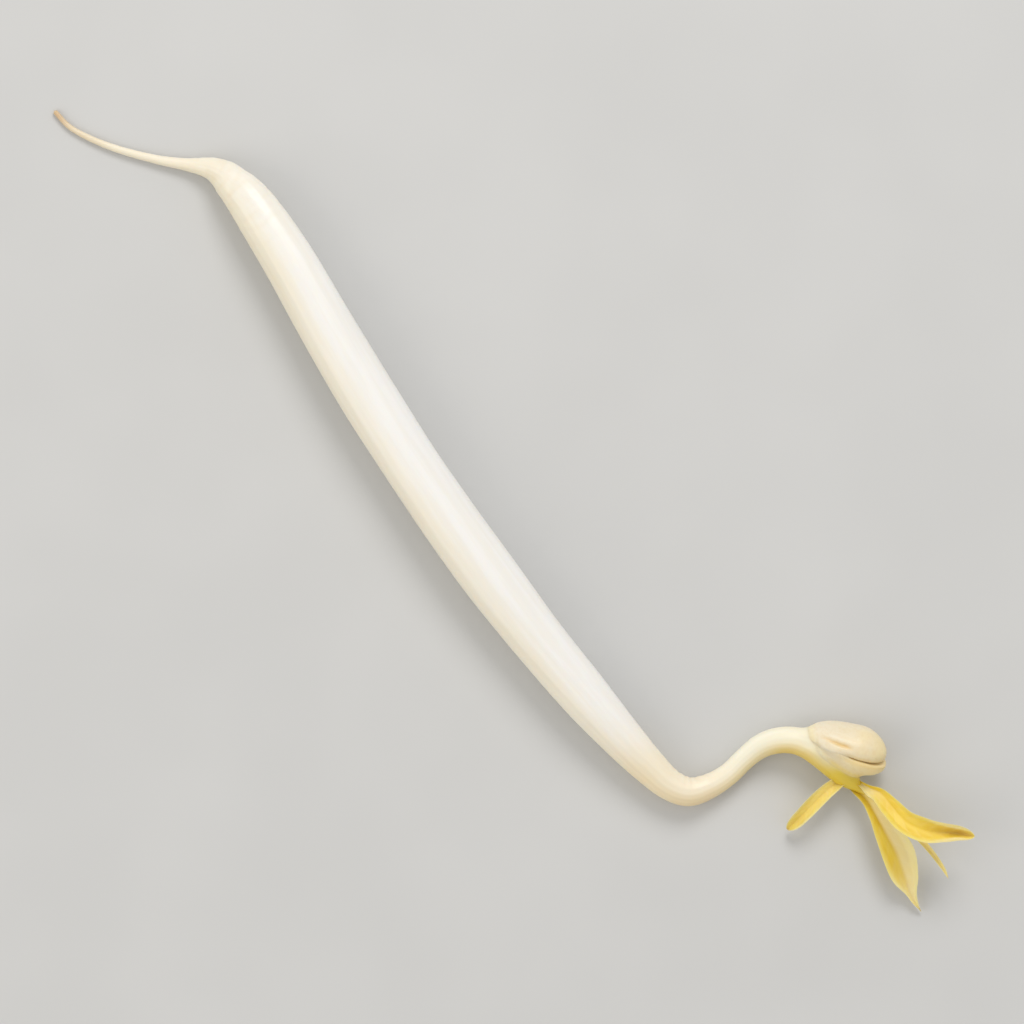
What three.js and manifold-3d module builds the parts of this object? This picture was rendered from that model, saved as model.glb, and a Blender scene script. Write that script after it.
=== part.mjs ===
// A single mung bean sprout lying on its side, in millimetres, +Z up.
// The thick white stem runs along +X from its root to its head, and the head hooks over towards +Y.
// The origin is under the middle of the sprout, on the surface that it lies on.

import * as THREE from "three";
import { mergeVertices } from "three/addons/utils/BufferGeometryUtils.js";
import Module from "manifold-3d";

const wasm = await Module();
wasm.setup();

// Driving dimensions.
const STEM_RADIUS = 2.1;
const LEAF_THICKNESS = 0.3;
const JOINT_GAP = 0.1;
const SLIT_GAP = 0.3;

// How finely the round and bent shapes are divided.
const STEM_SIDES = 16;
const RINGS_PER_STATION = 3;
const SEED_SIDES = 20;
const SEED_RINGS = 14;
const LEAF_STEPS = 12;
const LEAF_STRIPS = 4;
const HALF_FACET = Math.PI / STEM_SIDES;

// The middle of the sprout's outline, in the frame that the places below are written in.
const MIDDLE = new THREE.Vector3(3.806, 4.498, 0);

// The middle line from the root's tip to the end of the shoot, seen from above: place (x, y),
// clearance of the underside above the surface, and radius as a share of STEM_RADIUS.
const ROOT = [
  [-38.1, -6.4, 0, 0.08],
  [-36.2, -6.1, 0, 0.1],
  [-33.6, -4.7, 0, 0.13],
  [-31.0, -2.7, 0, 0.17],
  [-29.3, -1.1, 0, 0.23],
];
const THICK_STEM = [
  [-28.3, -0.1, 0, 0.34],
  [-27.4, 0.5, 0, 0.48],
  [-26.2, 0.8, 0, 0.63],
  [-23.8, 1.0, 0, 0.8],
  [-19.0, 0.7, 0, 0.92],
  [-12.0, -0.15, 0, 0.97],
  [-4.0, -0.85, 0, 1],
  [4.0, -1.2, 0, 1],
  [12.0, -1.2, 0, 0.92],
  [18.5, -0.9, 0, 0.83],
  [23.0, -0.55, 0, 0.71],
];
const HOOK = [
  [25.8, -0.2, 0, 0.61],
  [27.5, 0.2, 0, 0.55],
  [28.7, 1.0, 0, 0.51],
  [29.25, 2.4, 0, 0.44],
  [29.4, 4.0, 0.1, 0.39],
];
const NECK = [
  [29.2, 5.6, 0.25, 0.38],
  [29.15, 7.0, 0.4, 0.41],
  [29.5, 8.2, 0.5, 0.44],
  [30.2, 9.2, 0.6, 0.46],
  [31.1, 9.85, 0.65, 0.48],
  [32.2, 10.2, 0.7, 0.47],
  [33.4, 10.4, 0.8, 0.42],
];
const SHOOT = [
  [34.55, 10.6, 0.9, 0.38],
  [35.6, 10.9, 1.0, 0.38],
  [36.6, 11.2, 1.1, 0.34],
];
const STATIONS = [...ROOT, ...THICK_STEM, ...HOOK, ...NECK, ...SHOOT];

// The two seed halves face each other across one slit that starts at the neck. Its upper edge
// leans towards the inner half, so that the outer half lies partly on top.
const SEED_PLACE = new THREE.Vector3(32.87, 12.07, 1.95);
const SEED_TILT = THREE.MathUtils.degToRad(23);
const SEED_OUTER = { turn: 33, length: 5.7, thickness: 1.65, width: 3.8, forward: 0, side: 1 };
const SEED_INNER = { turn: 30, length: 5.6, thickness: 1.8, width: 3.7, forward: 0.3, side: -1 };

// Each leaf: its middle line, then spread evenly along it the widths to the left and to the right
// of that line and the fold angles (degrees), and the way that its hollow side looks.
const LEAF_RIGHT = {
  line: [
    [36.95, 11.75, 2.25],
    [37.8, 11.95, 2.6],
    [38.8, 12.1, 2.95],
    [40.15, 12.5, 3.3],
    [41.6, 13.35, 3.65],
    [42.5, 14.5, 3.9],
    [43.35, 15.5, 4.1],
  ],
  leftWidths: [0.4, 0.55, 0.8, 1.0, 1.1, 1.0, 0.15],
  rightWidths: [0.4, 0.5, 0.7, 0.75, 0.75, 0.65, 0.15],
  folds: [45, 30, 25, 25, 30, 40, 55],
  face: [0, 0, 1],
};
const LEAF_MIDDLE = {
  line: [
    [37.0, 11.0, 1.75],
    [37.9, 11.1, 1.9],
    [38.9, 11.0, 1.9],
    [40.3, 10.6, 1.7],
    [41.8, 10.0, 1.3],
    [43.5, 9.5, 0.8],
    [44.7, 9.3, 0.45],
    [45.7, 9.25, 0.3],
  ],
  leftWidths: [0.2, 0.4, 0.8, 1.3, 1.4, 0.9, 0.4, 0.1],
  rightWidths: [0.4, 0.6, 1.0, 1.1, 0.9, 0.5, 0.25, 0.1],
  folds: [45, 30, 25, 25, 30, 40, 45, 50],
  face: [0, 0, 1],
};
const LEAF_LEFT = {
  line: [
    [34.6, 9.4, 1.8],
    [34.75, 8.6, 2.0],
    [34.95, 7.5, 1.85],
    [35.15, 6.3, 1.3],
    [35.3, 5.1, 0.5],
  ],
  leftWidths: [0.4, 0.55, 0.62, 0.6, 0.3],
  rightWidths: [0.4, 0.55, 0.62, 0.6, 0.3],
  folds: [40, 30, 25, 30, 40],
  face: [0, 0, 1],
};
const BUD_LEAF = {
  line: [
    [38.7, 11.6, 1.75],
    [40.4, 12.1, 2.1],
    [42.2, 12.3, 2.3],
    [43.9, 12.4, 2.3],
    [44.8, 12.2, 2.2],
  ],
  leftWidths: [0.14, 0.22, 0.25, 0.2, 0.08],
  rightWidths: [0.14, 0.22, 0.25, 0.2, 0.08],
  folds: [30, 30, 30, 30, 30],
  face: [0, 0, 1],
};

const WHITE_FLESH = new THREE.MeshStandardMaterial({ color: 0xf7f3e6, roughness: 0.38, metalness: 0 });
const SEED_FLESH = new THREE.MeshStandardMaterial({ color: 0xf1e3bd, roughness: 0.45, metalness: 0 });
const YELLOW_LEAF = new THREE.MeshStandardMaterial({ color: 0xe6c63c, roughness: 0.5, metalness: 0 });
const PALE_LEAF = new THREE.MeshStandardMaterial({ color: 0xead9a0, roughness: 0.5, metalness: 0 });

// A smooth value along a row of numbers, for a position from 0 at the first to 1 at the last.
function valueAlong(row, position) {
  const points = row.map((value, index) => new THREE.Vector2(index, value));
  return new THREE.SplineCurve(points).getPoint(position).y;
}

function smoothLine(points) {
  const corners = points.map(([x, y, z]) => new THREE.Vector3(x, y, z));
  return new THREE.CatmullRomCurve3(corners, false, "catmullrom");
}

// Moves every corner of a geometry to the place that a function works out for it.
function reshape(geometry, newPlace) {
  const places = geometry.attributes.position;
  const corner = new THREE.Vector3();
  for (let i = 0; i < places.count; i += 1) {
    const place = newPlace(corner.fromBufferAttribute(places, i));
    places.setXYZ(i, place.x, place.y, place.z);
  }
  return geometry;
}

// A straight spindle of radius 1, bent along the stations. Every ring stands upright across the
// middle line, and its lowest facet lies level at the clearance of the stations.
function stemBody(extraRadius) {
  const rings = (STATIONS.length - 1) * RINGS_PER_STATION;
  const profile = [new THREE.Vector2(0, 0)];
  for (let ring = 0; ring <= rings; ring += 1) {
    profile.push(new THREE.Vector2(1, ring / rings));
  }
  profile.push(new THREE.Vector2(0, 1));
  const spindle = new THREE.LatheGeometry(profile, STEM_SIDES, HALF_FACET);

  const line = smoothLine(STATIONS.map(([x, y]) => [x, y, 0]));
  const clearances = STATIONS.map((station) => station[2]);
  const shares = STATIONS.map((station) => station[3]);
  return reshape(spindle, (corner) => {
    const along = THREE.MathUtils.clamp(corner.y, 0, 1);
    const radius = STEM_RADIUS * valueAlong(shares, along);
    const ahead = line.getTangent(along);
    const sideways = new THREE.Vector3(ahead.y, -ahead.x, 0).normalize();
    const place = line.getPoint(along);
    place.z = Math.max(0, valueAlong(clearances, along)) + radius * Math.cos(HALF_FACET);
    place.addScaledVector(sideways, corner.x * (radius + extraRadius));
    place.z += corner.z * (radius + extraRadius);
    return place;
  });
}

// One seed half: a ball that is almost flat on the side that faces the slit.
function seedHalf({ turn, length, thickness, width, forward, side }) {
  const flatBulge = 0.04;
  const ball = new THREE.SphereGeometry(1, SEED_SIDES, SEED_RINGS);
  const half = reshape(ball, (corner) => {
    const bulge = corner.y * side > 0 ? thickness : flatBulge;
    return new THREE.Vector3(
      corner.x * (length / 2) + forward,
      corner.y * bulge + side * (SLIT_GAP / 2 + flatBulge),
      corner.z * (width / 2),
    );
  });
  half.rotateX(SEED_TILT);
  half.rotateZ(THREE.MathUtils.degToRad(turn));
  half.translate(SEED_PLACE.x, SEED_PLACE.y, SEED_PLACE.z);
  return half;
}

function toSolid(geometry) {
  const bare = geometry.clone();
  bare.deleteAttribute("normal");
  bare.deleteAttribute("uv");
  const merged = mergeVertices(bare, 1e-4);
  return new wasm.Manifold(
    new wasm.Mesh({
      numProp: 3,
      vertProperties: merged.attributes.position.array,
      triVerts: new Uint32Array(merged.index.array),
    }),
  );
}

function toGeometry(solid) {
  const mesh = solid.getMesh();
  const geometry = new THREE.BufferGeometry();
  geometry.setAttribute("position", new THREE.BufferAttribute(mesh.vertProperties, 3));
  geometry.setIndex(new THREE.BufferAttribute(mesh.triVerts, 1));
  return geometry;
}

// A young leaf: a thin plate bent along its middle line and folded like a gutter.
function leafBlade({ line, leftWidths, rightWidths, folds, face }) {
  const plate = new THREE.BoxGeometry(1, 2, LEAF_THICKNESS, LEAF_STEPS, LEAF_STRIPS, 1);
  const curve = smoothLine(line);
  const facing = new THREE.Vector3(...face);
  return reshape(plate, (corner) => {
    const along = corner.x + 0.5;
    const ahead = curve.getTangent(along);
    const sideways = new THREE.Vector3().crossVectors(facing, ahead).normalize();
    const upwards = new THREE.Vector3().crossVectors(ahead, sideways);
    const widths = corner.y > 0 ? leftWidths : rightWidths;
    const reach = valueAlong(widths, along) * corner.y;
    const fold = THREE.MathUtils.degToRad(valueAlong(folds, along));
    const place = curve.getPoint(along);
    place.addScaledVector(sideways, reach * Math.cos(fold));
    place.addScaledVector(upwards, Math.abs(reach) * Math.sin(fold) + corner.z);
    return place;
  });
}

const sprout = new THREE.Group();
sprout.position.set(-MIDDLE.x, -MIDDLE.y, 0);

function add(name, geometry, material) {
  geometry.computeVertexNormals();
  const mesh = new THREE.Mesh(geometry, material);
  mesh.name = name;
  sprout.add(mesh);
}

// Each seed half is hollowed where the neck and the shoot pass it.
const roomForStem = toSolid(stemBody(JOINT_GAP));
const outerHalf = toSolid(seedHalf(SEED_OUTER)).subtract(roomForStem);
const innerHalf = toSolid(seedHalf(SEED_INNER)).subtract(roomForStem);

add("stem", stemBody(0), WHITE_FLESH);
add("cotyledon_outer", toGeometry(outerHalf), SEED_FLESH);
add("cotyledon_inner", toGeometry(innerHalf), SEED_FLESH);
add("leaf_right", leafBlade(LEAF_RIGHT), YELLOW_LEAF);
add("leaf_middle", leafBlade(LEAF_MIDDLE), YELLOW_LEAF);
add("leaf_left", leafBlade(LEAF_LEFT), YELLOW_LEAF);
add("bud_leaf", leafBlade(BUD_LEAF), PALE_LEAF);

export default sprout;
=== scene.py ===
"""A mung bean sprout lying on a pale surface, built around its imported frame.

Shapes are worked out in millimetres, in the frame that the stations of the middle line are
written in, and go into Blender in metres with the sprout's origin under its middle.
"""

import math
from collections import namedtuple

import bpy
import numpy as np
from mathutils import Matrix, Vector, noise
from mathutils.bvhtree import BVHTree


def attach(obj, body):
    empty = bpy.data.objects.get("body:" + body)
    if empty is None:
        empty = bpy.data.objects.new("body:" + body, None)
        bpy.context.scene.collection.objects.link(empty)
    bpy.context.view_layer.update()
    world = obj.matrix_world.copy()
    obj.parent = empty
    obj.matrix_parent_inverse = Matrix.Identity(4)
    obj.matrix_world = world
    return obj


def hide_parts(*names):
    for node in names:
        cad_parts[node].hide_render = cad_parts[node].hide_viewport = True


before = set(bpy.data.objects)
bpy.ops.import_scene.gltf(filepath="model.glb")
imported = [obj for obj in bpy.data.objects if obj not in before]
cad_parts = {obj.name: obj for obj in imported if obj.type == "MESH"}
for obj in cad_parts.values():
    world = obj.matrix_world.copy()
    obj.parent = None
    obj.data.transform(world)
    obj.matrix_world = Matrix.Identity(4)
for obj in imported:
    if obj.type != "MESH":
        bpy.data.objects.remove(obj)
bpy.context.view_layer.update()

MM = 0.001
TURN = 2 * math.pi

# ---------------------------------------------------------------- driving sizes, in millimetres

STEM_RADIUS = 2.1
MIDDLE = np.array([3.806, 4.498, 0.0])
RESTING_SHARE = 0.98  # height of the middle line over the underside, as a share of the radius

# Place (x, y), clearance of the underside above the surface, and radius as a share of STEM_RADIUS.
ROOT = [
    (-38.1, -6.4, 0, 0.08),
    (-36.2, -6.1, 0, 0.09),
    (-33.6, -4.7, 0, 0.115),
    (-31.0, -2.7, 0, 0.15),
    (-29.3, -1.1, 0, 0.22),
]
THICK_STEM = [
    (-28.3, -0.1, 0, 0.34),
    (-27.4, 0.5, 0, 0.48),
    (-26.2, 0.8, 0, 0.63),
    (-23.8, 1.0, 0, 0.8),
    (-19.0, 0.7, 0, 0.92),
    (-12.0, -0.15, 0, 0.97),
    (-4.0, -0.85, 0, 1),
    (4.0, -1.2, 0, 1),
    (12.0, -1.2, 0, 0.92),
    (18.5, -0.9, 0, 0.83),
    (23.0, -0.55, 0, 0.71),
]
HOOK = [
    (25.8, -0.2, 0, 0.61),
    (27.5, 0.2, 0, 0.55),
    (28.7, 1.0, 0, 0.51),
    (29.25, 2.4, 0, 0.44),
    (29.4, 4.0, 0.1, 0.39),
]
NECK = [
    (29.2, 5.6, 0.25, 0.38),
    (29.15, 7.0, 0.4, 0.41),
    (29.5, 8.2, 0.5, 0.44),
    (30.2, 9.2, 0.6, 0.46),
    (31.1, 9.85, 0.65, 0.48),
    (32.2, 10.2, 0.7, 0.47),
    (33.4, 10.4, 0.8, 0.42),
]
SHOOT = [
    (34.55, 10.6, 0.9, 0.38),
    (35.6, 10.9, 1.0, 0.38),
    (36.6, 11.2, 1.1, 0.34),
]
STATIONS = np.array(ROOT + THICK_STEM + HOOK + NECK + SHOOT, float)
HOOK_CORNER = (28.7, 1.0)

# The two seed halves face each other across one slit, whose upper edge leans to the inner half.
SEED_PLACE = np.array([32.87, 12.07, 1.95])
SEED_TILT = math.radians(23)
SEED_GAP = 0.01  # from the middle of the slit to each half
SEED_RIM = 0.3  # depth of each half's rounded rim
SEED_TAPER = 0.22  # how much thinner each half is at the neck than at its far end

# turn is in degrees from +X, forward shifts the half along itself, side is 1 for the half that
# faces away from the leaves, and warmer is added to how golden it is.
SeedHalf = namedtuple("SeedHalf", "turn length thickness width forward side warmer")
SEED_OUTER = SeedHalf(turn=33, length=5.7, thickness=1.5, width=3.8, forward=0.0, side=1, warmer=0.0)
SEED_INNER = SeedHalf(turn=30, length=5.6, thickness=1.2, width=3.7, forward=0.3, side=-1, warmer=0.3)

NECK_FLOW = 1.1  # the distance at which the skins of neck and halves start to flow together
SLIT_FLOW = 0.9  # the same for the two halves, where their slit closes near the neck
MOST_SWELL = 0.45  # the most that a skin swells there, as a share of that distance
FLOW_STEPS = 5
DIP = 0.04  # how far a skin dips under its neighbour past the join

# The crease between the outer half's lobe and the neck, seen from above.
LOBE_CREASE = [(30.54, 10.76), (31.39, 11.14), (32.25, 11.63), (33.04, 12.17)]
LOBE_CREASE_DEPTH = 0.16
LOBE_CREASE_WIDTH = 0.17


# ---------------------------------------------------------------- curves and small wobbles


def along(values, position):
    """Smooth values through evenly counted stations, for positions from 0 to 1."""
    values = np.asarray(values, float)
    last = len(values) - 1
    place = np.clip(position, 0, 1) * last
    start = np.minimum(place.astype(int), last - 1)
    padded = np.concatenate([2 * values[:1] - values[1:2], values, 2 * values[-1:] - values[-2:-1]])
    before, here, there, after = (padded[start + step] for step in range(4))
    share = place - start
    if values.ndim > 1:
        share = share[:, None]
    slope_here, slope_there = (there - before) / 2, (after - here) / 2
    rise = there - here
    return (
        here
        + share * slope_here
        + share**2 * (3 * rise - 2 * slope_here - slope_there)
        + share**3 * (slope_here + slope_there - 2 * rise)
    )


def even_steps(points, count, fine=2000):
    """Positions from 0 to 1 that split the line through the points evenly, and its length."""
    position = np.linspace(0, 1, fine)
    line = along(points, position)
    travelled = np.concatenate([[0], np.cumsum(np.linalg.norm(np.diff(line, axis=0), axis=1))])
    wanted = np.linspace(0, travelled[-1], count)
    return np.interp(wanted, travelled, position), travelled[-1]


def directions(line):
    """Unit directions along a line of points."""
    ahead = np.gradient(line, axis=0)
    return ahead / np.linalg.norm(ahead, axis=1)[:, None]


def bell(distance, width):
    """1 at distance 0, falling smoothly to nothing over the width."""
    return np.exp(-((distance / width) ** 2))


def step_up(value, low, high):
    """0 below low, 1 above high, smooth between."""
    share = np.clip((value - low) / (high - low), 0, 1)
    return share * share * (3 - 2 * share)


def round_end(distance, radius):
    """1 from the radius inwards, falling to nearly 0 at the very end, as a ball does."""
    share = np.clip(1 - distance / radius, 0, 1)
    return np.sqrt(np.clip(1 - share**2, 0.003, 1))


def wobble(points, size, seed):
    """Smooth noise from about -1 to 1 at each point; features are about size across."""
    offset = Vector((seed * 17.3, seed * 5.1, seed * 9.7))
    flat = points.reshape(-1, 3) / size
    values = [noise.noise(Vector(p) + offset) for p in flat]
    return np.array(values).reshape(points.shape[:-1])


def angle_apart(first, second):
    """The difference between two angles, from minus to plus half a turn."""
    return np.angle(np.exp(1j * (first - second)))


def ring_faces(count, sides):
    """The corner numbers of the faces between rings of corners, without the two ends."""
    ring = np.arange(count - 1)[:, None] * sides
    side = np.arange(sides)[None, :]
    after = (side + 1) % sides
    faces = np.stack([ring + side, ring + after, ring + sides + after, ring + sides + side], axis=-1)
    return faces.reshape(-1, 4).tolist()


def skin_tree(rings):
    """A search tree over a ringed skin whose faces point outwards, without its ends."""
    return BVHTree.FromPolygons(rings.reshape(-1, 3).tolist(), ring_faces(*rings.shape[:2]))


def signed_gap(points, trees):
    """How far points lie outside the nearest of some skins; negative inside one."""
    gaps = []
    for point in map(Vector, points.reshape(-1, 3)):
        gap = math.inf
        for tree in trees:
            nearest, normal, _, distance = tree.find_nearest(point)
            gap = min(gap, math.copysign(distance, (point - nearest).dot(normal)))
        gaps.append(gap)
    return np.array(gaps).reshape(points.shape[:-1])


def flow_into(skin, outwards, neighbours, reach):
    """How far to swell a skin so that it flows into its neighbours, given as search trees.

    Both sides swell to the same smooth surface, and each dips under the other past the join.
    """
    first_gap = signed_gap(skin, neighbours)
    gap = first_gap
    swell = np.zeros(skin.shape[:-1])
    for _ in range(FLOW_STEPS):
        gap = np.maximum(gap, 0)
        overlap = np.clip(1 - np.abs(gap - swell) / reach, 0, 1)
        step = np.minimum(gap, swell) - reach / 4 * overlap**2
        swell = np.clip(swell - step, 0, MOST_SWELL * reach)
        gap = signed_gap(skin + outwards * swell[..., None], neighbours)
    buried = 1 - step_up(first_gap, -0.6, -0.1)
    return swell * (1 - buried) - DIP * step_up(swell - gap, -0.12, 0.35 * reach)


def past_line(points, line):
    """For points (..., 2): distance to a line, and how far along it they lie, from 0 to 1."""
    best = np.full(points.shape[:-1], np.inf)
    passed = np.zeros(points.shape[:-1])
    for number, (start, end) in enumerate(zip(np.array(line[:-1]), np.array(line[1:]))):
        run = end - start
        length = np.linalg.norm(run)
        offset = points - start
        share = np.clip((offset @ run) / length**2, 0, 1)
        distance = np.linalg.norm(offset - share[..., None] * run, axis=-1)
        passed = np.where(distance < best, (number + share) / (len(line) - 1), passed)
        best = np.minimum(best, distance)
    return best, passed


# ---------------------------------------------------------------- meshes


def loft(name, rings, first, last, material, **marks):
    """A closed body through rings of points (ring, corner, xyz), with an end point at each end.

    marks are named values for the material, one for each ring corner: numbers or xyz triples.
    """
    count, sides = rings.shape[:2]
    corners = np.vstack([rings.reshape(-1, 3), first, last])
    start, end = count * sides, count * sides + 1
    base = (count - 1) * sides
    faces = ring_faces(count, sides)
    faces += [(start, (i + 1) % sides, i) for i in range(sides)]
    faces += [(end, base + i, base + (i + 1) % sides) for i in range(sides)]

    mesh = bpy.data.meshes.new(name)
    mesh.from_pydata(((corners - MIDDLE) * MM).tolist(), [], faces)
    for mark, values in marks.items():
        flat = values.reshape(count * sides, -1)
        flat = np.vstack([flat, flat[:sides].mean(axis=0), flat[-sides:].mean(axis=0)])
        vector = flat.shape[1] == 3
        layer = mesh.attributes.new(mark, "FLOAT_VECTOR" if vector else "FLOAT", "POINT")
        layer.data.foreach_set("vector" if vector else "value", flat.ravel())
    mesh.shade_smooth()
    mesh.materials.append(material)
    piece = bpy.data.objects.new(name, mesh)
    bpy.context.scene.collection.objects.link(piece)
    return piece


def stands_for(piece, node):
    """The piece is shown in place of a CAD node and rides on the sprout's one body."""
    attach(piece, "root")
    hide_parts(node)


# ---------------------------------------------------------------- materials

JOINING_NECK = (0.89, 0.79, 0.54)  # where the seed halves join the neck
JOINING_SHOOT = (0.90, 0.71, 0.28)  # where they join the shoot
# painted shade in the stem's dents and creases, and the colour of its tan blotches
STEM_SHADE_AND_BLOTCH = (0.74, 0.52, 0.22, 1)
# painted shade in the seed halves' creases, along the slit and in the wrinkle dips
SEED_CREASE_SHADE = (0.80, 0.56, 0.20, 1)
# painted shade inside the cup of a leaf
LEAF_HOLLOW_SHADE = (0.62, 0.40, 0.06, 1)

# How much light goes into the tissue, how far each of red, green and blue goes, and the depth in mm.
Glow = namedtuple("Glow", "weight radius depth")
FLESH_GLOW = Glow(weight=0.35, radius=(1.0, 0.85, 0.65), depth=0.6)
LEAF_GLOW = Glow(weight=0.5, radius=(1.0, 1.0, 0.4), depth=0.25)


def new_material(name):
    material = bpy.data.materials.new(name)
    material.use_nodes = True
    tree = material.node_tree
    tree.nodes.clear()
    return material, tree


def add(tree, kind, settings=None, **inputs):
    """A node with its settings and inputs; an input is a constant or another node's socket.

    Inputs go by name, with _ for a space, or by number, written as _0, _1 and so on.
    """
    made = tree.nodes.new("ShaderNode" + kind)
    for key, value in (settings or {}).items():
        setattr(made, key, value)
    for key, value in inputs.items():
        socket = made.inputs[int(key[1:])] if key[0] == "_" else made.inputs[key.replace("_", " ")]
        if isinstance(value, bpy.types.NodeSocket):
            tree.links.new(value, socket)
        else:
            socket.default_value = value
    return made


def mark_of(tree, mark, output="Vector"):
    """A mark that loft wrote on the mesh; its output is Vector for triples and Fac for numbers."""
    return add(tree, "Attribute", {"attribute_name": mark}).outputs[output]


def ramp(tree, value, stops):
    """Colours, or greys as single numbers, at positions from 0 to 1."""
    made = add(tree, "ValToRGB", Fac=value)
    made.color_ramp.interpolation = "EASE"
    elements = made.color_ramp.elements
    while len(elements) < len(stops):
        elements.new(0.5)
    for element, (position, colour) in zip(elements, stops):
        element.position = position
        if isinstance(colour, (int, float)):
            colour = (colour, colour, colour)
        element.color = (*colour, 1)
    return made.outputs["Color"]


def mix(tree, share, first, second, blend="MIX"):
    """Two colours blended by a share from 0, all first, to 1."""
    settings = {"data_type": "RGBA", "blend_type": blend}
    made = add(tree, "Mix", settings, _0=share, _6=first, _7=second)
    return made.outputs[2]


def scaled(tree, value, low, high):
    """A noise value, which is mostly from 0.3 to 0.7, spread from low to high."""
    return add(tree, "MapRange", Value=value, _1=0.3, _2=0.7, _3=low, _4=high).outputs[0]


def stretched(tree, vector, scale):
    """A place multiplied along each axis, so that grain made from it is stretched or shrunk."""
    made = add(tree, "VectorMath", {"operation": "MULTIPLY"}, _0=vector, _1=scale)
    return made.outputs["Vector"]


def grain(tree, vector, scale, detail=3.0, roughness=0.55):
    """Smooth noise, mostly from 0.3 to 0.7."""
    made = add(tree, "TexNoise", Vector=vector, Scale=scale, Detail=detail, Roughness=roughness)
    return made.outputs["Fac"]


def finish_flesh(tree, colour, roughness, normal, glow, coat):
    """The shader of moist plant tissue: light goes some way into it and it has a thin wet skin."""
    shader = add(
        tree,
        "BsdfPrincipled",
        Base_Color=colour,
        Roughness=roughness,
        Normal=normal,
        IOR=1.4,
        Subsurface_Weight=glow.weight,
        Subsurface_Radius=glow.radius,
        Subsurface_Scale=glow.depth * MM,
        Coat_Weight=coat,
        Coat_Roughness=0.28,
    )
    output = add(tree, "OutputMaterial")
    tree.links.new(shader.outputs["BSDF"], output.inputs["Surface"])


def joined(tree, colour, position, neck, shoot):
    """The colour, changed where stem and seed halves join, between positions at neck and shoot."""
    joining_colour = ramp(tree, position, [(neck, JOINING_NECK), (shoot, JOINING_SHOOT)])
    return mix(tree, mark_of(tree, "joining", "Fac"), colour, joining_colour)


# The stem's colours by station, from 0 at the root's tip to 1 at the end of the shoot.
STEM_LEFT_COLOURS = [
    (0.0, (0.64, 0.47, 0.29)),
    (0.04, (0.80, 0.69, 0.52)),
    (0.08, (0.89, 0.82, 0.69)),
    (0.18, (0.90, 0.85, 0.73)),
    (0.26, (0.90, 0.875, 0.81)),
    (0.33, (0.90, 0.89, 0.87)),
    (0.47, (0.90, 0.89, 0.87)),
    (0.54, (0.90, 0.82, 0.66)),
    (0.62, (0.90, 0.82, 0.66)),
    (0.72, (0.91, 0.88, 0.74)),
    (0.82, (0.91, 0.86, 0.68)),
    (0.87, (0.88, 0.78, 0.45)),
    (0.92, (0.78, 0.59, 0.07)),
    (0.967, (0.79, 0.60, 0.065)),
    (0.99, (0.86, 0.71, 0.28)),
    (1.0, (0.86, 0.71, 0.28)),
]
# The right-hand side's colours are painted shade: warmer and darker than the left's, for the side
# turned away from the light, strongest on the hook's outer side and under the neck.
STEM_SHADED_SIDE_COLOURS = [
    (0.0, (0.60, 0.43, 0.25)),
    (0.04, (0.77, 0.65, 0.47)),
    (0.08, (0.87, 0.79, 0.63)),
    (0.18, (0.90, 0.83, 0.65)),
    (0.27, (0.92, 0.85, 0.68)),
    (0.34, (0.93, 0.87, 0.73)),
    (0.47, (0.93, 0.87, 0.73)),
    (0.54, (0.92, 0.79, 0.54)),
    (0.62, (0.90, 0.74, 0.46)),
    (0.71, (0.90, 0.76, 0.42)),
    (0.78, (0.86, 0.64, 0.17)),
    (0.86, (0.84, 0.63, 0.14)),
    (0.92, (0.78, 0.58, 0.06)),
    (1.0, (0.80, 0.60, 0.05)),
]


def stem_material():
    """White watery flesh with faint long streaks; painted shade makes the right-hand side of the
    line, turned away from the light, warmer and darker, and darkens the dents and creases.
    """
    material, tree = new_material("white_flesh")
    straight = mark_of(tree, "straight")
    station = mark_of(tree, "station", "Fac")
    crease = mark_of(tree, "crease", "Fac")
    streaks = grain(tree, stretched(tree, straight, (0.1, 1.4, 1.4)), 1.0, 3.0)
    patches = grain(tree, stretched(tree, straight, (0.25, 0.5, 0.5)), 1.0, 2.0)
    uneven = scaled(tree, patches, -0.008, 0.008)
    place = add(tree, "Math", {"operation": "ADD"}, _0=station, _1=uneven).outputs[0]
    left_colour = ramp(tree, place, STEM_LEFT_COLOURS)
    shaded_side_colour = ramp(tree, place, STEM_SHADED_SIDE_COLOURS)
    # painted shade: the right-hand side of the line, turned away from the light, takes the warmer,
    # darker colours
    colour = mix(tree, mark_of(tree, "cream", "Fac"), left_colour, shaded_side_colour)
    colour = joined(tree, colour, place, 0.84, 0.91)
    streak_tint = ramp(tree, streaks, [(0.35, (0.95, 0.93, 0.88)), (0.6, (1, 1, 1))])
    colour = mix(tree, 0.5, colour, streak_tint, "MULTIPLY")
    # painted shade in the dents of gathers and folds, with tan blotches on the hook's outer side
    colour = mix(tree, crease, colour, STEM_SHADE_AND_BLOTCH)
    roughness = scaled(tree, patches, 0.34, 0.46)
    fine = grain(tree, stretched(tree, straight, (1.2, 9.0, 9.0)), 1.0, 3.0)
    relief = add(tree, "Math", {"operation": "MULTIPLY_ADD"}, _0=fine, _1=0.3, _2=streaks).outputs[0]
    bump = add(tree, "Bump", Strength=0.25, Distance=0.03 * MM, Height=relief)
    finish_flesh(tree, colour, roughness, bump.outputs["Normal"], FLESH_GLOW, coat=0.16)
    return material


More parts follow.
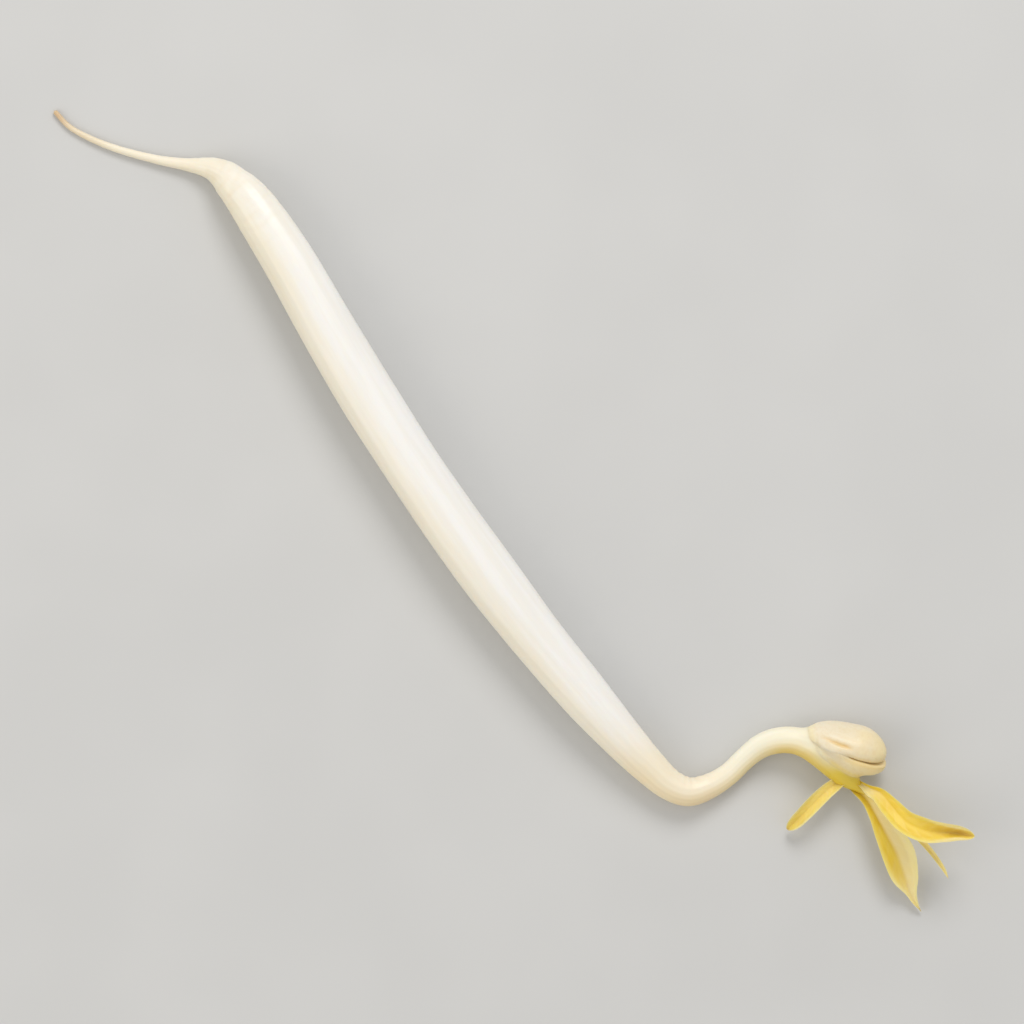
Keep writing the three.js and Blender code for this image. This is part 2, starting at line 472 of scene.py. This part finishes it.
def seed_material():
    """Cream seed flesh with a waxy skin, and painted gold shade in its creases, along its slit and in
    its wrinkle dips.
    """
    material, tree = new_material("seed_flesh")
    place = mark_of(tree, "local")
    crease = mark_of(tree, "crease", "Fac")
    clouds = grain(tree, place, 0.5, 3.0)
    freckles = grain(tree, place, 4.0, 3.0)
    uneven = scaled(tree, clouds, -0.15, 0.15)
    warmth = mark_of(tree, "warmth", "Fac")
    warmth = add(tree, "Math", {"operation": "ADD"}, _0=warmth, _1=uneven).outputs[0]
    colour = ramp(
        tree,
        warmth,
        [(0.1, (0.85, 0.77, 0.60)), (0.5, (0.85, 0.75, 0.55)), (1.0, (0.87, 0.73, 0.42))],
    )
    colour = joined(tree, colour, warmth, 0.35, 0.75)
    freckle_tint = ramp(tree, freckles, [(0.35, (0.95, 0.91, 0.82)), (0.55, (1, 1, 1))])
    colour = mix(tree, 0.5, colour, freckle_tint, "MULTIPLY")
    # painted shade in the creases, along the slit and in the wrinkle dips
    colour = mix(tree, crease, colour, SEED_CREASE_SHADE)
    roughness = scaled(tree, freckles, 0.38, 0.5)
    relief = grain(tree, stretched(tree, place, (2.0, 6.0, 6.0)), 1.0, 3.0)
    bump = add(tree, "Bump", Strength=0.2, Distance=0.03 * MM, Height=relief)
    finish_flesh(tree, colour, roughness, bump.outputs["Normal"], FLESH_GLOW, coat=0.16)
    return material


def leaf_material(name, body, pale, base, tip):
    """A thin young leaf: olive at its foot, paler where it is thin, with painted deep gold shade
    inside its cupped tip.
    """
    material, tree = new_material(name)
    blade = mark_of(tree, "blade")
    length = add(tree, "SeparateXYZ", Vector=blade).outputs[0]
    mottle = grain(tree, stretched(tree, blade, (6.0, 2.0, 1.0)), 1.0, 3.0)
    body_colour = ramp(tree, mottle, [(0.3, body[0]), (0.7, body[1])])
    foot_share = ramp(tree, length, [(0.1, 1.0), (0.36, 0.0)])
    colour = mix(tree, foot_share, body_colour, (*base, 1))
    # painted shade inside the cupped tip
    colour = mix(tree, mark_of(tree, "hollow", "Fac"), colour, LEAF_HOLLOW_SHADE)
    colour = mix(tree, mark_of(tree, "pale", "Fac"), colour, (*pale, 1))
    # darker brown towards the tip
    colour = mix(tree, mark_of(tree, "tip_darkening", "Fac"), colour, (*tip, 1))
    fine = grain(tree, stretched(tree, blade, (60.0, 12.0, 1.0)), 1.0, 3.0)
    roughness = scaled(tree, mottle, 0.36, 0.48)
    bump = add(tree, "Bump", Strength=0.3, Distance=0.02 * MM, Height=fine)
    finish_flesh(tree, colour, roughness, bump.outputs["Normal"], LEAF_GLOW, coat=0.15)
    return material


# ---------------------------------------------------------------- the middle line of the stem

STEM_RINGS = 700
STEM_SIDES = 112
MiddleLine = namedtuple("MiddleLine", "station travelled place ahead left radius height")


def middle_line():
    """The stem's middle line at every ring: height is that of the line over the surface."""
    station, length = even_steps(STATIONS[:, :2], STEM_RINGS)
    values = along(STATIONS, station)
    place = values[:, :2]
    ahead = directions(place)
    left = np.stack([-ahead[:, 1], ahead[:, 0]], axis=1)
    travelled = np.linspace(0, length, STEM_RINGS)
    left_to_go = length - travelled
    radius = STEM_RADIUS * values[:, 3] * (0.3 + 0.7 * step_up(left_to_go, 0, 2.8))
    height = np.maximum(values[:, 2], 0) + radius * RESTING_SHARE
    radius = radius * round_end(travelled, 0.16) * round_end(left_to_go, 0.25)
    return MiddleLine(station, travelled, place, ahead, left, radius, height)


LINE = middle_line()
HEAD_RINGS = LINE.station > 0.72

# ---------------------------------------------------------------- the seed halves

SEED_RINGS = 150
SEED_SIDES = 180


def seed_axes(half):
    """Rows: the directions along a half, out of its slit and up its width."""
    turn = math.radians(half.turn)
    lengthwise = np.array([math.cos(turn), math.sin(turn), 0])
    level = np.array([-math.sin(turn), math.cos(turn), 0])
    upright = np.array([0, 0, 1])
    outwards = level * math.cos(SEED_TILT) + upright * math.sin(SEED_TILT)
    across = upright * math.cos(SEED_TILT) - level * math.sin(SEED_TILT)
    return np.array([lengthwise, outwards * half.side, across])


def seed_middle(half):
    """The middle of the rim of a half."""
    lengthwise, outwards, _ = seed_axes(half)
    return SEED_PLACE + lengthwise * half.forward + outwards * (SEED_GAP + SEED_RIM)


def seed_shape(half):
    """Corners of a half in its own axes: domed outside, nearly flat inside, with a round rim."""
    position = (1 - np.cos(np.linspace(0.02, math.pi - 0.02, SEED_RINGS))) / 2
    angle = half.side * np.linspace(0, TURN, SEED_SIDES, endpoint=False)[None, :]
    lengthwise = (2 * position - 1)[:, None]
    girth = np.clip(1 - np.abs(lengthwise) ** 2.2, 0, 1) ** 0.5
    outwards = np.cos(angle)
    slim_near_neck = 1 - SEED_TAPER * (1 - step_up(lengthwise, -0.35, 0.35))
    dome = girth * half.thickness * slim_near_neck * np.abs(outwards) ** 0.95
    flat = -SEED_RIM * np.tanh(4 * np.abs(outwards)) * np.tanh(3 * girth)
    x = lengthwise * half.length / 2 + 0 * angle
    y = np.where(outwards > 0, dome, flat)
    z = girth * np.sin(angle) * half.width / 2
    return np.stack([x, y, z], axis=-1)


def skin_normals(rings):
    """Unit vectors straight out of a ringed skin whose faces point outwards."""
    lengthwise = np.gradient(rings, axis=0)
    around = np.roll(rings, -1, axis=1) - np.roll(rings, 1, axis=1)
    normals = np.cross(around, lengthwise)
    return normals / (np.linalg.norm(normals, axis=-1)[..., None] + 1e-9)


SeedSkin = namedtuple("SeedSkin", "local rings outwards wrinkles tree")


def plain_seed_half(half):
    """A half with its own unevenness, not yet joined to the neck."""
    local = seed_shape(half)
    soft = wobble(local, 1.7, 4 + half.side)
    wrinkles = wobble(local * np.array([0.45, 1.6, 1.6]), 0.5, 6 + half.side)
    rings = local @ seed_axes(half) + seed_middle(half)
    outwards = skin_normals(rings)
    rings = rings + outwards * (0.05 * soft + 0.014 * wrinkles)[..., None]
    return SeedSkin(local, rings, outwards, wrinkles, skin_tree(rings))


def lobe_crease(points):
    """How deep points lie in the crease that sets off the outer half's lobe from the neck."""
    top = step_up(points[..., 2], 1.9, 2.5)
    distance, share = past_line(points[..., :2], LOBE_CREASE)
    depth = step_up(share, 0.0, 0.7) * (1 - step_up(share, 0.85, 1.1))
    return bell(distance, LOBE_CREASE_WIDTH) * top * depth


def make_seed_half(name, half, skin, stem, other):
    """One seed half, which flows into the neck and, near the neck, into the other half."""
    crease = lobe_crease(skin.rings) * (half.side > 0)
    to_neck = flow_into(skin.rings, skin.outwards, [stem.tree], NECK_FLOW)
    near_neck = 1 - step_up(skin.local[..., 0], -1.0, 0.4)
    to_other = flow_into(skin.rings, skin.outwards, [other.tree], SLIT_FLOW) * near_neck
    swell = np.where(to_neck < 0, to_neck, np.maximum(to_neck, to_other))
    rings = skin.rings + skin.outwards * (swell - LOBE_CREASE_DEPTH * crease)[..., None]
    rings[..., 2] = np.maximum(rings[..., 2], 0)

    # painted shade: gold darkening in the lobe crease, along the slit's rim (strongest at the far
    # end, where the slit opens) and in the wrinkle dips
    far = step_up(skin.local[..., 0], -1.2, 1.2)
    rim = bell(skin.local[..., 1] + 0.5 * SEED_RIM, 0.16) * (0.15 + 0.85 * far)
    painted_seed_shade = 0.8 * crease + 0.45 * rim + 0.1 * np.clip(-skin.wrinkles, 0, 1)
    return loft(
        name,
        rings,
        rings[0].mean(axis=0),
        rings[-1].mean(axis=0),
        SEED_FLESH,
        local=skin.local,
        crease=np.clip(painted_seed_shade, 0, 1),
        joining=step_up(to_neck, 0.0, 0.15),
        warmth=skin.local[..., 0] / half.length + 0.5 + half.warmer,
    )


# ---------------------------------------------------------------- the stem

INNER_SIDE = 0.0  # angle of the side that the hook closes towards; a quarter turn on is up


def stem_relief(travelled, angle, radius, past_hook):
    """How far the skin stands out from a plain tapering stem, and how much crease colour it takes:
    painted shade in its dents and tan blotches.
    """
    straight = np.stack([travelled, radius * np.cos(angle), radius * np.sin(angle)], axis=-1)
    thick = radius / STEM_RADIUS
    slim = np.minimum(thick * 1.6, 1)

    swell = (0.035 * np.sin(travelled / 4.1 + 1.0) + 0.02 * np.sin(travelled / 2.3)) * thick
    oval = 0.02 * radius * np.cos(2 * (angle - travelled / 19))
    dents = 0.04 * wobble(straight * np.array([0.35, 1, 1]), 1.8, 1) * slim
    ridges = 0.008 * np.cos(17 * angle + 1.5 * np.sin(travelled / 9)) * slim
    lines = 0.008 * wobble(straight * np.array([0.06, 1, 1]), 0.3, 2) * slim

    near_root = 1 - step_up(travelled, 12, 22)
    folds = wobble(straight * np.array([2.0, 0.7, 0.7]), 0.8, 3) * near_root * slim

    inner = bell(angle_apart(angle, INNER_SIDE), 0.9) * bell(past_hook, 1.9)
    gathers = (0.5 + 0.5 * np.sin(past_hook * 9 + 1.2 * np.cos(3 * angle))) * inner
    outer = bell(angle_apart(angle, INNER_SIDE + math.pi), 0.8) * bell(past_hook, 1.5)
    blotches = outer * np.clip(0.5 + wobble(straight, 0.9, 7), 0, 1)

    relief = swell + oval + dents + ridges + lines + 0.05 * folds - 0.045 * gathers
    # crease colour: painted shade in the gathers inside the hook and the dents of the root folds,
    # plus tan blotches on the hook's outer side
    crease = 0.12 * gathers + 0.25 * np.clip(-folds, 0, 1) + 0.35 * blotches
    return straight, relief, crease


StemSkin = namedtuple("StemSkin", "angle straight rings outwards crease tree")


def plain_stem():
    """The stem's skin with its own relief, not yet joined to the seed halves."""
    angle = np.linspace(0, TURN, STEM_SIDES, endpoint=False)[None, :]
    travelled = LINE.travelled[:, None] + 0 * angle
    radius = LINE.radius[:, None]
    to_corner = np.linalg.norm(LINE.place - np.array(HOOK_CORNER), axis=1)
    past_hook = travelled - LINE.travelled[np.argmin(to_corner)]
    straight, relief, crease = stem_relief(travelled, angle, radius, past_hook)

    level = LINE.left[:, None] * np.cos(angle)[..., None]
    outwards = np.concatenate([level, np.sin(angle)[..., None] + 0 * level[..., :1]], axis=-1)
    centre = np.column_stack([LINE.place, LINE.height])[:, None]
    rings = centre + outwards * (radius + relief * np.minimum(radius / 0.1, 1))[..., None]
    tree = skin_tree(rings[HEAD_RINGS])
    return StemSkin(angle + 0 * travelled, straight, rings, outwards, crease, tree)


def make_stem(skin, halves):
    """Root, thick stem, hooked neck and shoot in one skin, which flows into the seed halves."""
    head = skin.rings[HEAD_RINGS]
    outwards = skin.outwards[HEAD_RINGS]
    swell = flow_into(head, outwards, [half.tree for half in halves], NECK_FLOW)
    rings = skin.rings.copy()
    rings[HEAD_RINGS] = head + outwards * swell[..., None]
    rings[..., 2] = np.maximum(rings[..., 2], 0)
    joining = 0 * skin.angle
    joining[HEAD_RINGS] = step_up(swell, 0.14, 0.3)
    return loft(
        "sprout_stem",
        rings,
        rings[0].mean(axis=0),
        rings[-1].mean(axis=0),
        stem_material(),
        straight=skin.straight,
        station=LINE.station[:, None] + 0 * skin.angle,
        # painted shade: how far each corner is turned to the right-hand side, away from the light
        cream=step_up(-np.cos(skin.angle), -0.2, 1.0),
        crease=np.clip(skin.crease, 0, 1),
        joining=joining,
    )


# ---------------------------------------------------------------- the leaves

LEAF_RINGS = 180
LEAF_SIDES = 96
Leaf = namedtuple(
    "Leaf",
    "line left_widths right_widths left_pale right_pale hollow brown_tip folds thickness curl seed",
)

# Each line starts inside the shoot and then runs close to that of the CAD leaf. Spread evenly along
# it are the widths of the blade to its left and right, how pale each side is and how much painted
# deep gold shade lies in the cup, both from 0 to 1, and the fold in degrees.
LEAF_RIGHT = Leaf(
    line=[
        (35.4, 11.2, 1.45),
        (36.2, 11.55, 1.55),
        (37.0, 11.98, 1.9),
        (38.2, 12.08, 2.4),
        (39.6, 12.22, 2.95),
        (40.9, 12.9, 3.35),
        (41.8, 13.85, 3.55),
        (42.6, 14.75, 3.65),
        (43.4, 15.5, 3.75),
    ],
    left_widths=[0.3, 0.35, 0.48, 0.7, 0.88, 1.1, 1.05, 1.05, 0.5],
    right_widths=[0.5, 0.85, 1.05, 1.1, 1.05, 1.1, 1.05, 0.85, 0.45],
    left_pale=[0, 0, 0, 0, 0, 0, 0, 0, 0.3],
    right_pale=[1, 1, 0.4, 0, 0, 0, 0, 0, 0.3],
    hollow=[0, 0, 0, 0, 0, 0.1, 0.6, 1, 0.2],
    brown_tip=0.0,
    folds=[50, 42, 32, 23, 18, 22, 32, 40, 42],
    thickness=0.2,
    curl=0.55,
    seed=1,
)
LEAF_MIDDLE = Leaf(
    line=[
        (34.9, 10.5, 1.0),
        (35.9, 10.75, 1.1),
        (36.9, 10.88, 1.4),
        (38.0, 10.75, 1.7),
        (39.4, 10.55, 1.75),
        (41.2, 10.25, 1.45),
        (42.8, 9.8, 1.0),
        (44.1, 9.4, 0.6),
        (44.9, 9.25, 0.4),
        (45.75, 9.25, 0.25),
    ],
    left_widths=[0.5, 0.6, 0.75, 0.95, 1.25, 1.5, 1.2, 0.7, 0.45, 0.05],
    right_widths=[0.55, 0.65, 0.6, 0.6, 0.87, 1.15, 1.1, 0.45, 0.28, 0.05],
    left_pale=[0.2, 0.4, 0.6, 0.8, 0.9, 0.9, 0.9, 1, 1, 1],
    right_pale=[0, 0, 0, 0, 0, 0, 0.3, 0.9, 1, 1],
    hollow=[0, 0],
    brown_tip=1.0,
    folds=[50, 45, 36, 22, 13, 12, 20, 34, 46, 60],
    thickness=0.2,
    curl=0.5,
    seed=2,
)
LEAF_LEFT = Leaf(
    line=[
        (34.6, 10.4, 1.5),
        (34.55, 9.8, 1.6),
        (34.55, 9.0, 1.8),
        (34.66, 8.0, 1.85),
        (34.85, 6.9, 1.6),
        (35.03, 5.9, 1.05),
        (35.15, 5.05, 0.45),
    ],
    left_widths=[0.6, 0.65, 0.68, 0.7, 0.68, 0.62, 0.3],
    right_widths=[0.6, 0.65, 0.68, 0.7, 0.68, 0.62, 0.3],
    left_pale=[0.3, 0.35, 0.35, 0.3, 0.25, 0.2, 0.2],
    right_pale=[0.3, 0.35, 0.35, 0.3, 0.25, 0.2, 0.2],
    hollow=[0, 0],
    brown_tip=0.7,
    folds=[45, 32, 26, 22, 22, 28, 40],
    thickness=0.2,
    curl=0.5,
    seed=3,
)
BUD_LEAF = Leaf(
    line=[
        (36.3, 11.2, 1.6),
        (37.5, 11.4, 1.6),
        (38.8, 11.6, 1.75),
        (40.4, 12.1, 2.1),
        (42.2, 12.35, 2.3),
        (43.9, 12.35, 2.3),
        (44.85, 12.2, 2.2),
    ],
    left_widths=[0.12, 0.15, 0.2, 0.27, 0.28, 0.2, 0.03],
    right_widths=[0.12, 0.15, 0.2, 0.27, 0.28, 0.2, 0.03],
    left_pale=[0, 0],
    right_pale=[0, 0],
    hollow=[0, 0],
    brown_tip=0.7,
    folds=[30, 30],
    thickness=0.16,
    curl=0.4,
    seed=4,
)


LeafLine = namedtuple("LeafLine", "position length middle ahead left up")


def leaf_line(leaf):
    """A leaf's middle line at every ring, with its directions ahead, to the left and up."""
    position, length = even_steps(leaf.line, LEAF_RINGS)
    middle = along(leaf.line, position)
    ahead = directions(middle)
    left = np.cross(np.array([0.0, 0.0, 1.0]), ahead)
    left /= np.linalg.norm(left, axis=1)[:, None]
    return LeafLine(position, length, middle, ahead, left, np.cross(ahead, left))


def leaf_half_width(leaf, length, position, across):
    """The width from the midrib to the margin, on the side that each corner is on."""
    left = along(leaf.left_widths, position)
    right = along(leaf.right_widths, position)
    return np.where(across > 0, left, right) * round_end((1 - position) * length, 0.6)


def leaf_ribs(travelled, length, reach, half_width):
    """How strongly the midrib and the side veins show, from 0 to 1."""
    wide_enough = step_up(half_width, 0.2, 0.6)
    phase = (travelled - 1.1 * reach * half_width) / (0.08 * length)
    veins = bell(np.abs((phase % 1) - 0.5) - 0.5, 0.16) * step_up(reach, 0.08, 0.25)
    veins = veins * (1 - step_up(reach, 0.7, 0.95)) * wide_enough
    midrib = bell(reach, 0.12) * wide_enough
    return midrib, veins


def leaf_thickness(leaf, reach, face, midrib, veins):
    """How far each corner lies above the middle of the blade, or below it on the lower face."""
    profile = 0.6 - 0.28 * reach**2 + 0.12 * bell(reach - 0.93, 0.08)
    plain = leaf.thickness * profile * np.sign(face) * np.abs(face) ** 0.6
    ribs = np.where(face < 0, -1, -0.6) * (0.03 * midrib + 0.02 * veins)
    return plain + ribs * (np.abs(face) > 0.2)


def leaf_marks(leaf, position, across, veins):
    """What a leaf's colours go by: place on the blade, thin pale parts, painted shade in the cup,
    darker brown tip.
    """
    reach = np.abs(across)
    hollow = along(leaf.hollow, position)
    margins = step_up(reach, 0.5 - 0.2 * hollow, 1.0 - 0.5 * hollow)
    margins = margins * (0.5 + 0.5 * step_up(position, 0.55, 0.8))
    left_side = step_up(across, -0.12, 0.2)
    pale = along(leaf.left_pale, position) * left_side
    pale = pale + along(leaf.right_pale, position) * (1 - left_side)
    return {
        "blade": np.stack([position, across, 0 * position], axis=-1),
        "pale": np.clip(pale + margins + 0.1 * veins, 0, 1),
        # painted shade along the middle of the cup
        "hollow": hollow * bell(across - 0.1, 0.35),
        # darker brown over the last part of the leaf
        "tip_darkening": leaf.brown_tip * step_up(position, 0.93, 1.0),
    }


def make_leaf(name, leaf, material):
    """A young leaf: a thin blade folded along its midrib, with curled and gently rippled margins."""
    line = leaf_line(leaf)
    angle = np.linspace(0, TURN, LEAF_SIDES, endpoint=False)[None, :]
    position = line.position[:, None] + 0 * angle
    travelled = position * line.length
    across = np.cos(angle) + 0 * position
    face = np.sin(angle) + 0 * position
    reach = np.abs(across)
    half_width = leaf_half_width(leaf, line.length, position, across)
    midrib, veins = leaf_ribs(travelled, line.length, reach, half_width)

    bend = np.radians(along(leaf.folds, position)) * (1 - 0.35 * bell(reach, 0.25))
    bend = bend + leaf.curl * np.clip(reach - 0.5, 0, 1)
    out = half_width * across * np.cos(bend)
    ripple = np.sin(travelled * 2.1 + 2.2 * np.sign(across) + leaf.seed)
    ripple = ripple + 0.5 * np.sin(travelled * 5.3 + leaf.seed * 2)
    ripple = ripple * 0.05 * np.minimum(half_width, 1) * reach**2
    skin = leaf_thickness(leaf, reach, face, midrib, veins)
    ends = np.minimum(1, np.minimum(position, 1 - position) * 14 + 0.35)
    lift = half_width * reach * np.sin(bend) + (ripple + skin) * ends

    rings = line.middle[:, None] + line.left[:, None] * out[..., None]
    rings = rings + line.up[:, None] * lift[..., None]
    rings[..., 2] = np.maximum(rings[..., 2], 0.02)
    first = rings[0].mean(axis=0) - line.ahead[0] * 0.04
    last = rings[-1].mean(axis=0) + line.ahead[-1] * 0.06
    marks = leaf_marks(leaf, position, across, veins)
    return loft(name, rings, first, last, material, **marks)


# ---------------------------------------------------------------- the object

SEED_FLESH = seed_material()
YELLOW_LEAF = leaf_material(
    "yellow_leaf",
    body=((0.80, 0.58, 0.04), (0.85, 0.65, 0.08)),
    pale=(0.90, 0.77, 0.40),
    base=(0.76, 0.57, 0.05),
    tip=(0.62, 0.42, 0.16),
)
PALE_LEAF = leaf_material(
    "pale_leaf",
    body=((0.84, 0.66, 0.22), (0.88, 0.72, 0.30)),
    pale=(0.90, 0.77, 0.42),
    base=(0.80, 0.62, 0.12),
    tip=(0.80, 0.62, 0.33),
)

stem = plain_stem()
outer = plain_seed_half(SEED_OUTER)
inner = plain_seed_half(SEED_INNER)
outer_piece = make_seed_half("seed_half_outer", SEED_OUTER, outer, stem, inner)
inner_piece = make_seed_half("seed_half_inner", SEED_INNER, inner, stem, outer)
stands_for(make_stem(stem, [outer, inner]), "stem")
stands_for(outer_piece, "cotyledon_outer")
stands_for(inner_piece, "cotyledon_inner")
stands_for(make_leaf("young_leaf_right", LEAF_RIGHT, YELLOW_LEAF), "leaf_right")
stands_for(make_leaf("young_leaf_middle", LEAF_MIDDLE, YELLOW_LEAF), "leaf_middle")
stands_for(make_leaf("young_leaf_left", LEAF_LEFT, YELLOW_LEAF), "leaf_left")
stands_for(make_leaf("young_bud_leaf", BUD_LEAF, PALE_LEAF), "bud_leaf")

# ---------------------------------------------------------------- floor, light and camera

VIEW_ROLL = math.radians(53.3)
VIEW_WIDTH = 74 * MM
VIEW_MIDDLE = (-0.7, -1.9)
LENS = 240
SENSOR = 36
FLOOR_SIZE = 6  # metres
FLOOR_DROP = 0.03  # below the sprout's lowest strip, so that the two never coincide
SKY_COLOUR = (1, 0.985, 0.96, 1)
SKY_LIGHT = 0.64


def picture_place(right, up, height):
    """A place in metres from its millimetres right and up in the camera's picture."""
    cos, sin = math.cos(VIEW_ROLL), math.sin(VIEW_ROLL)
    return Vector((right * cos - up * sin, right * sin + up * cos, height)) * MM


def make_floor():
    """The pale surface that the sprout lies on."""
    material, tree = new_material("pale_floor")
    coordinates = add(tree, "TexCoord").outputs["Object"]
    tone = grain(tree, coordinates, 60.0, 2.0)
    colour = ramp(tree, tone, [(0.3, (0.60, 0.605, 0.605)), (0.7, (0.62, 0.625, 0.625))])
    shader = add(tree, "BsdfPrincipled", Base_Color=colour, Roughness=0.7)
    output = add(tree, "OutputMaterial")
    tree.links.new(shader.outputs["BSDF"], output.inputs["Surface"])
    bpy.ops.mesh.primitive_plane_add(size=FLOOR_SIZE, location=(0, 0, -FLOOR_DROP * MM))
    floor = bpy.context.object
    floor.name = "floor"
    floor.data.materials.append(material)


def make_light(name, place, size, power, colour):
    """A round soft light that points at the sprout: size in metres, power in watts."""
    data = bpy.data.lights.new(name, "AREA")
    data.shape = "DISK"
    data.size = size
    data.energy = power
    data.color = colour
    light = bpy.data.objects.new(name, data)
    light.location = place
    light.rotation_euler = place.to_track_quat("Z", "Y").to_euler()
    light.visible_camera = False
    bpy.context.scene.collection.objects.link(light)


def make_world():
    world = bpy.data.worlds.new("studio")
    world.use_nodes = True
    background = world.node_tree.nodes["Background"]
    background.inputs["Color"].default_value = SKY_COLOUR
    background.inputs["Strength"].default_value = SKY_LIGHT
    bpy.context.scene.world = world


def make_camera():
    """A camera straight above the sprout, turned as the photograph is."""
    data = bpy.data.cameras.new("camera")
    data.lens = LENS
    data.sensor_width = SENSOR
    camera = bpy.data.objects.new("camera", data)
    distance = VIEW_WIDTH * LENS / SENSOR
    camera.location = picture_place(*VIEW_MIDDLE, distance / MM)
    camera.rotation_euler = (0, 0, VIEW_ROLL)
    bpy.context.scene.collection.objects.link(camera)
    bpy.context.scene.camera = camera


make_floor()
make_light("key", picture_place(90, 330, 330), size=0.22, power=0.97, colour=(1, 0.98, 0.95))
make_light("fill", picture_place(-330, -120, 260), size=0.35, power=0.42, colour=(1, 0.94, 0.85))
make_world()
make_camera()
bpy.context.scene.view_settings.view_transform = "Standard"
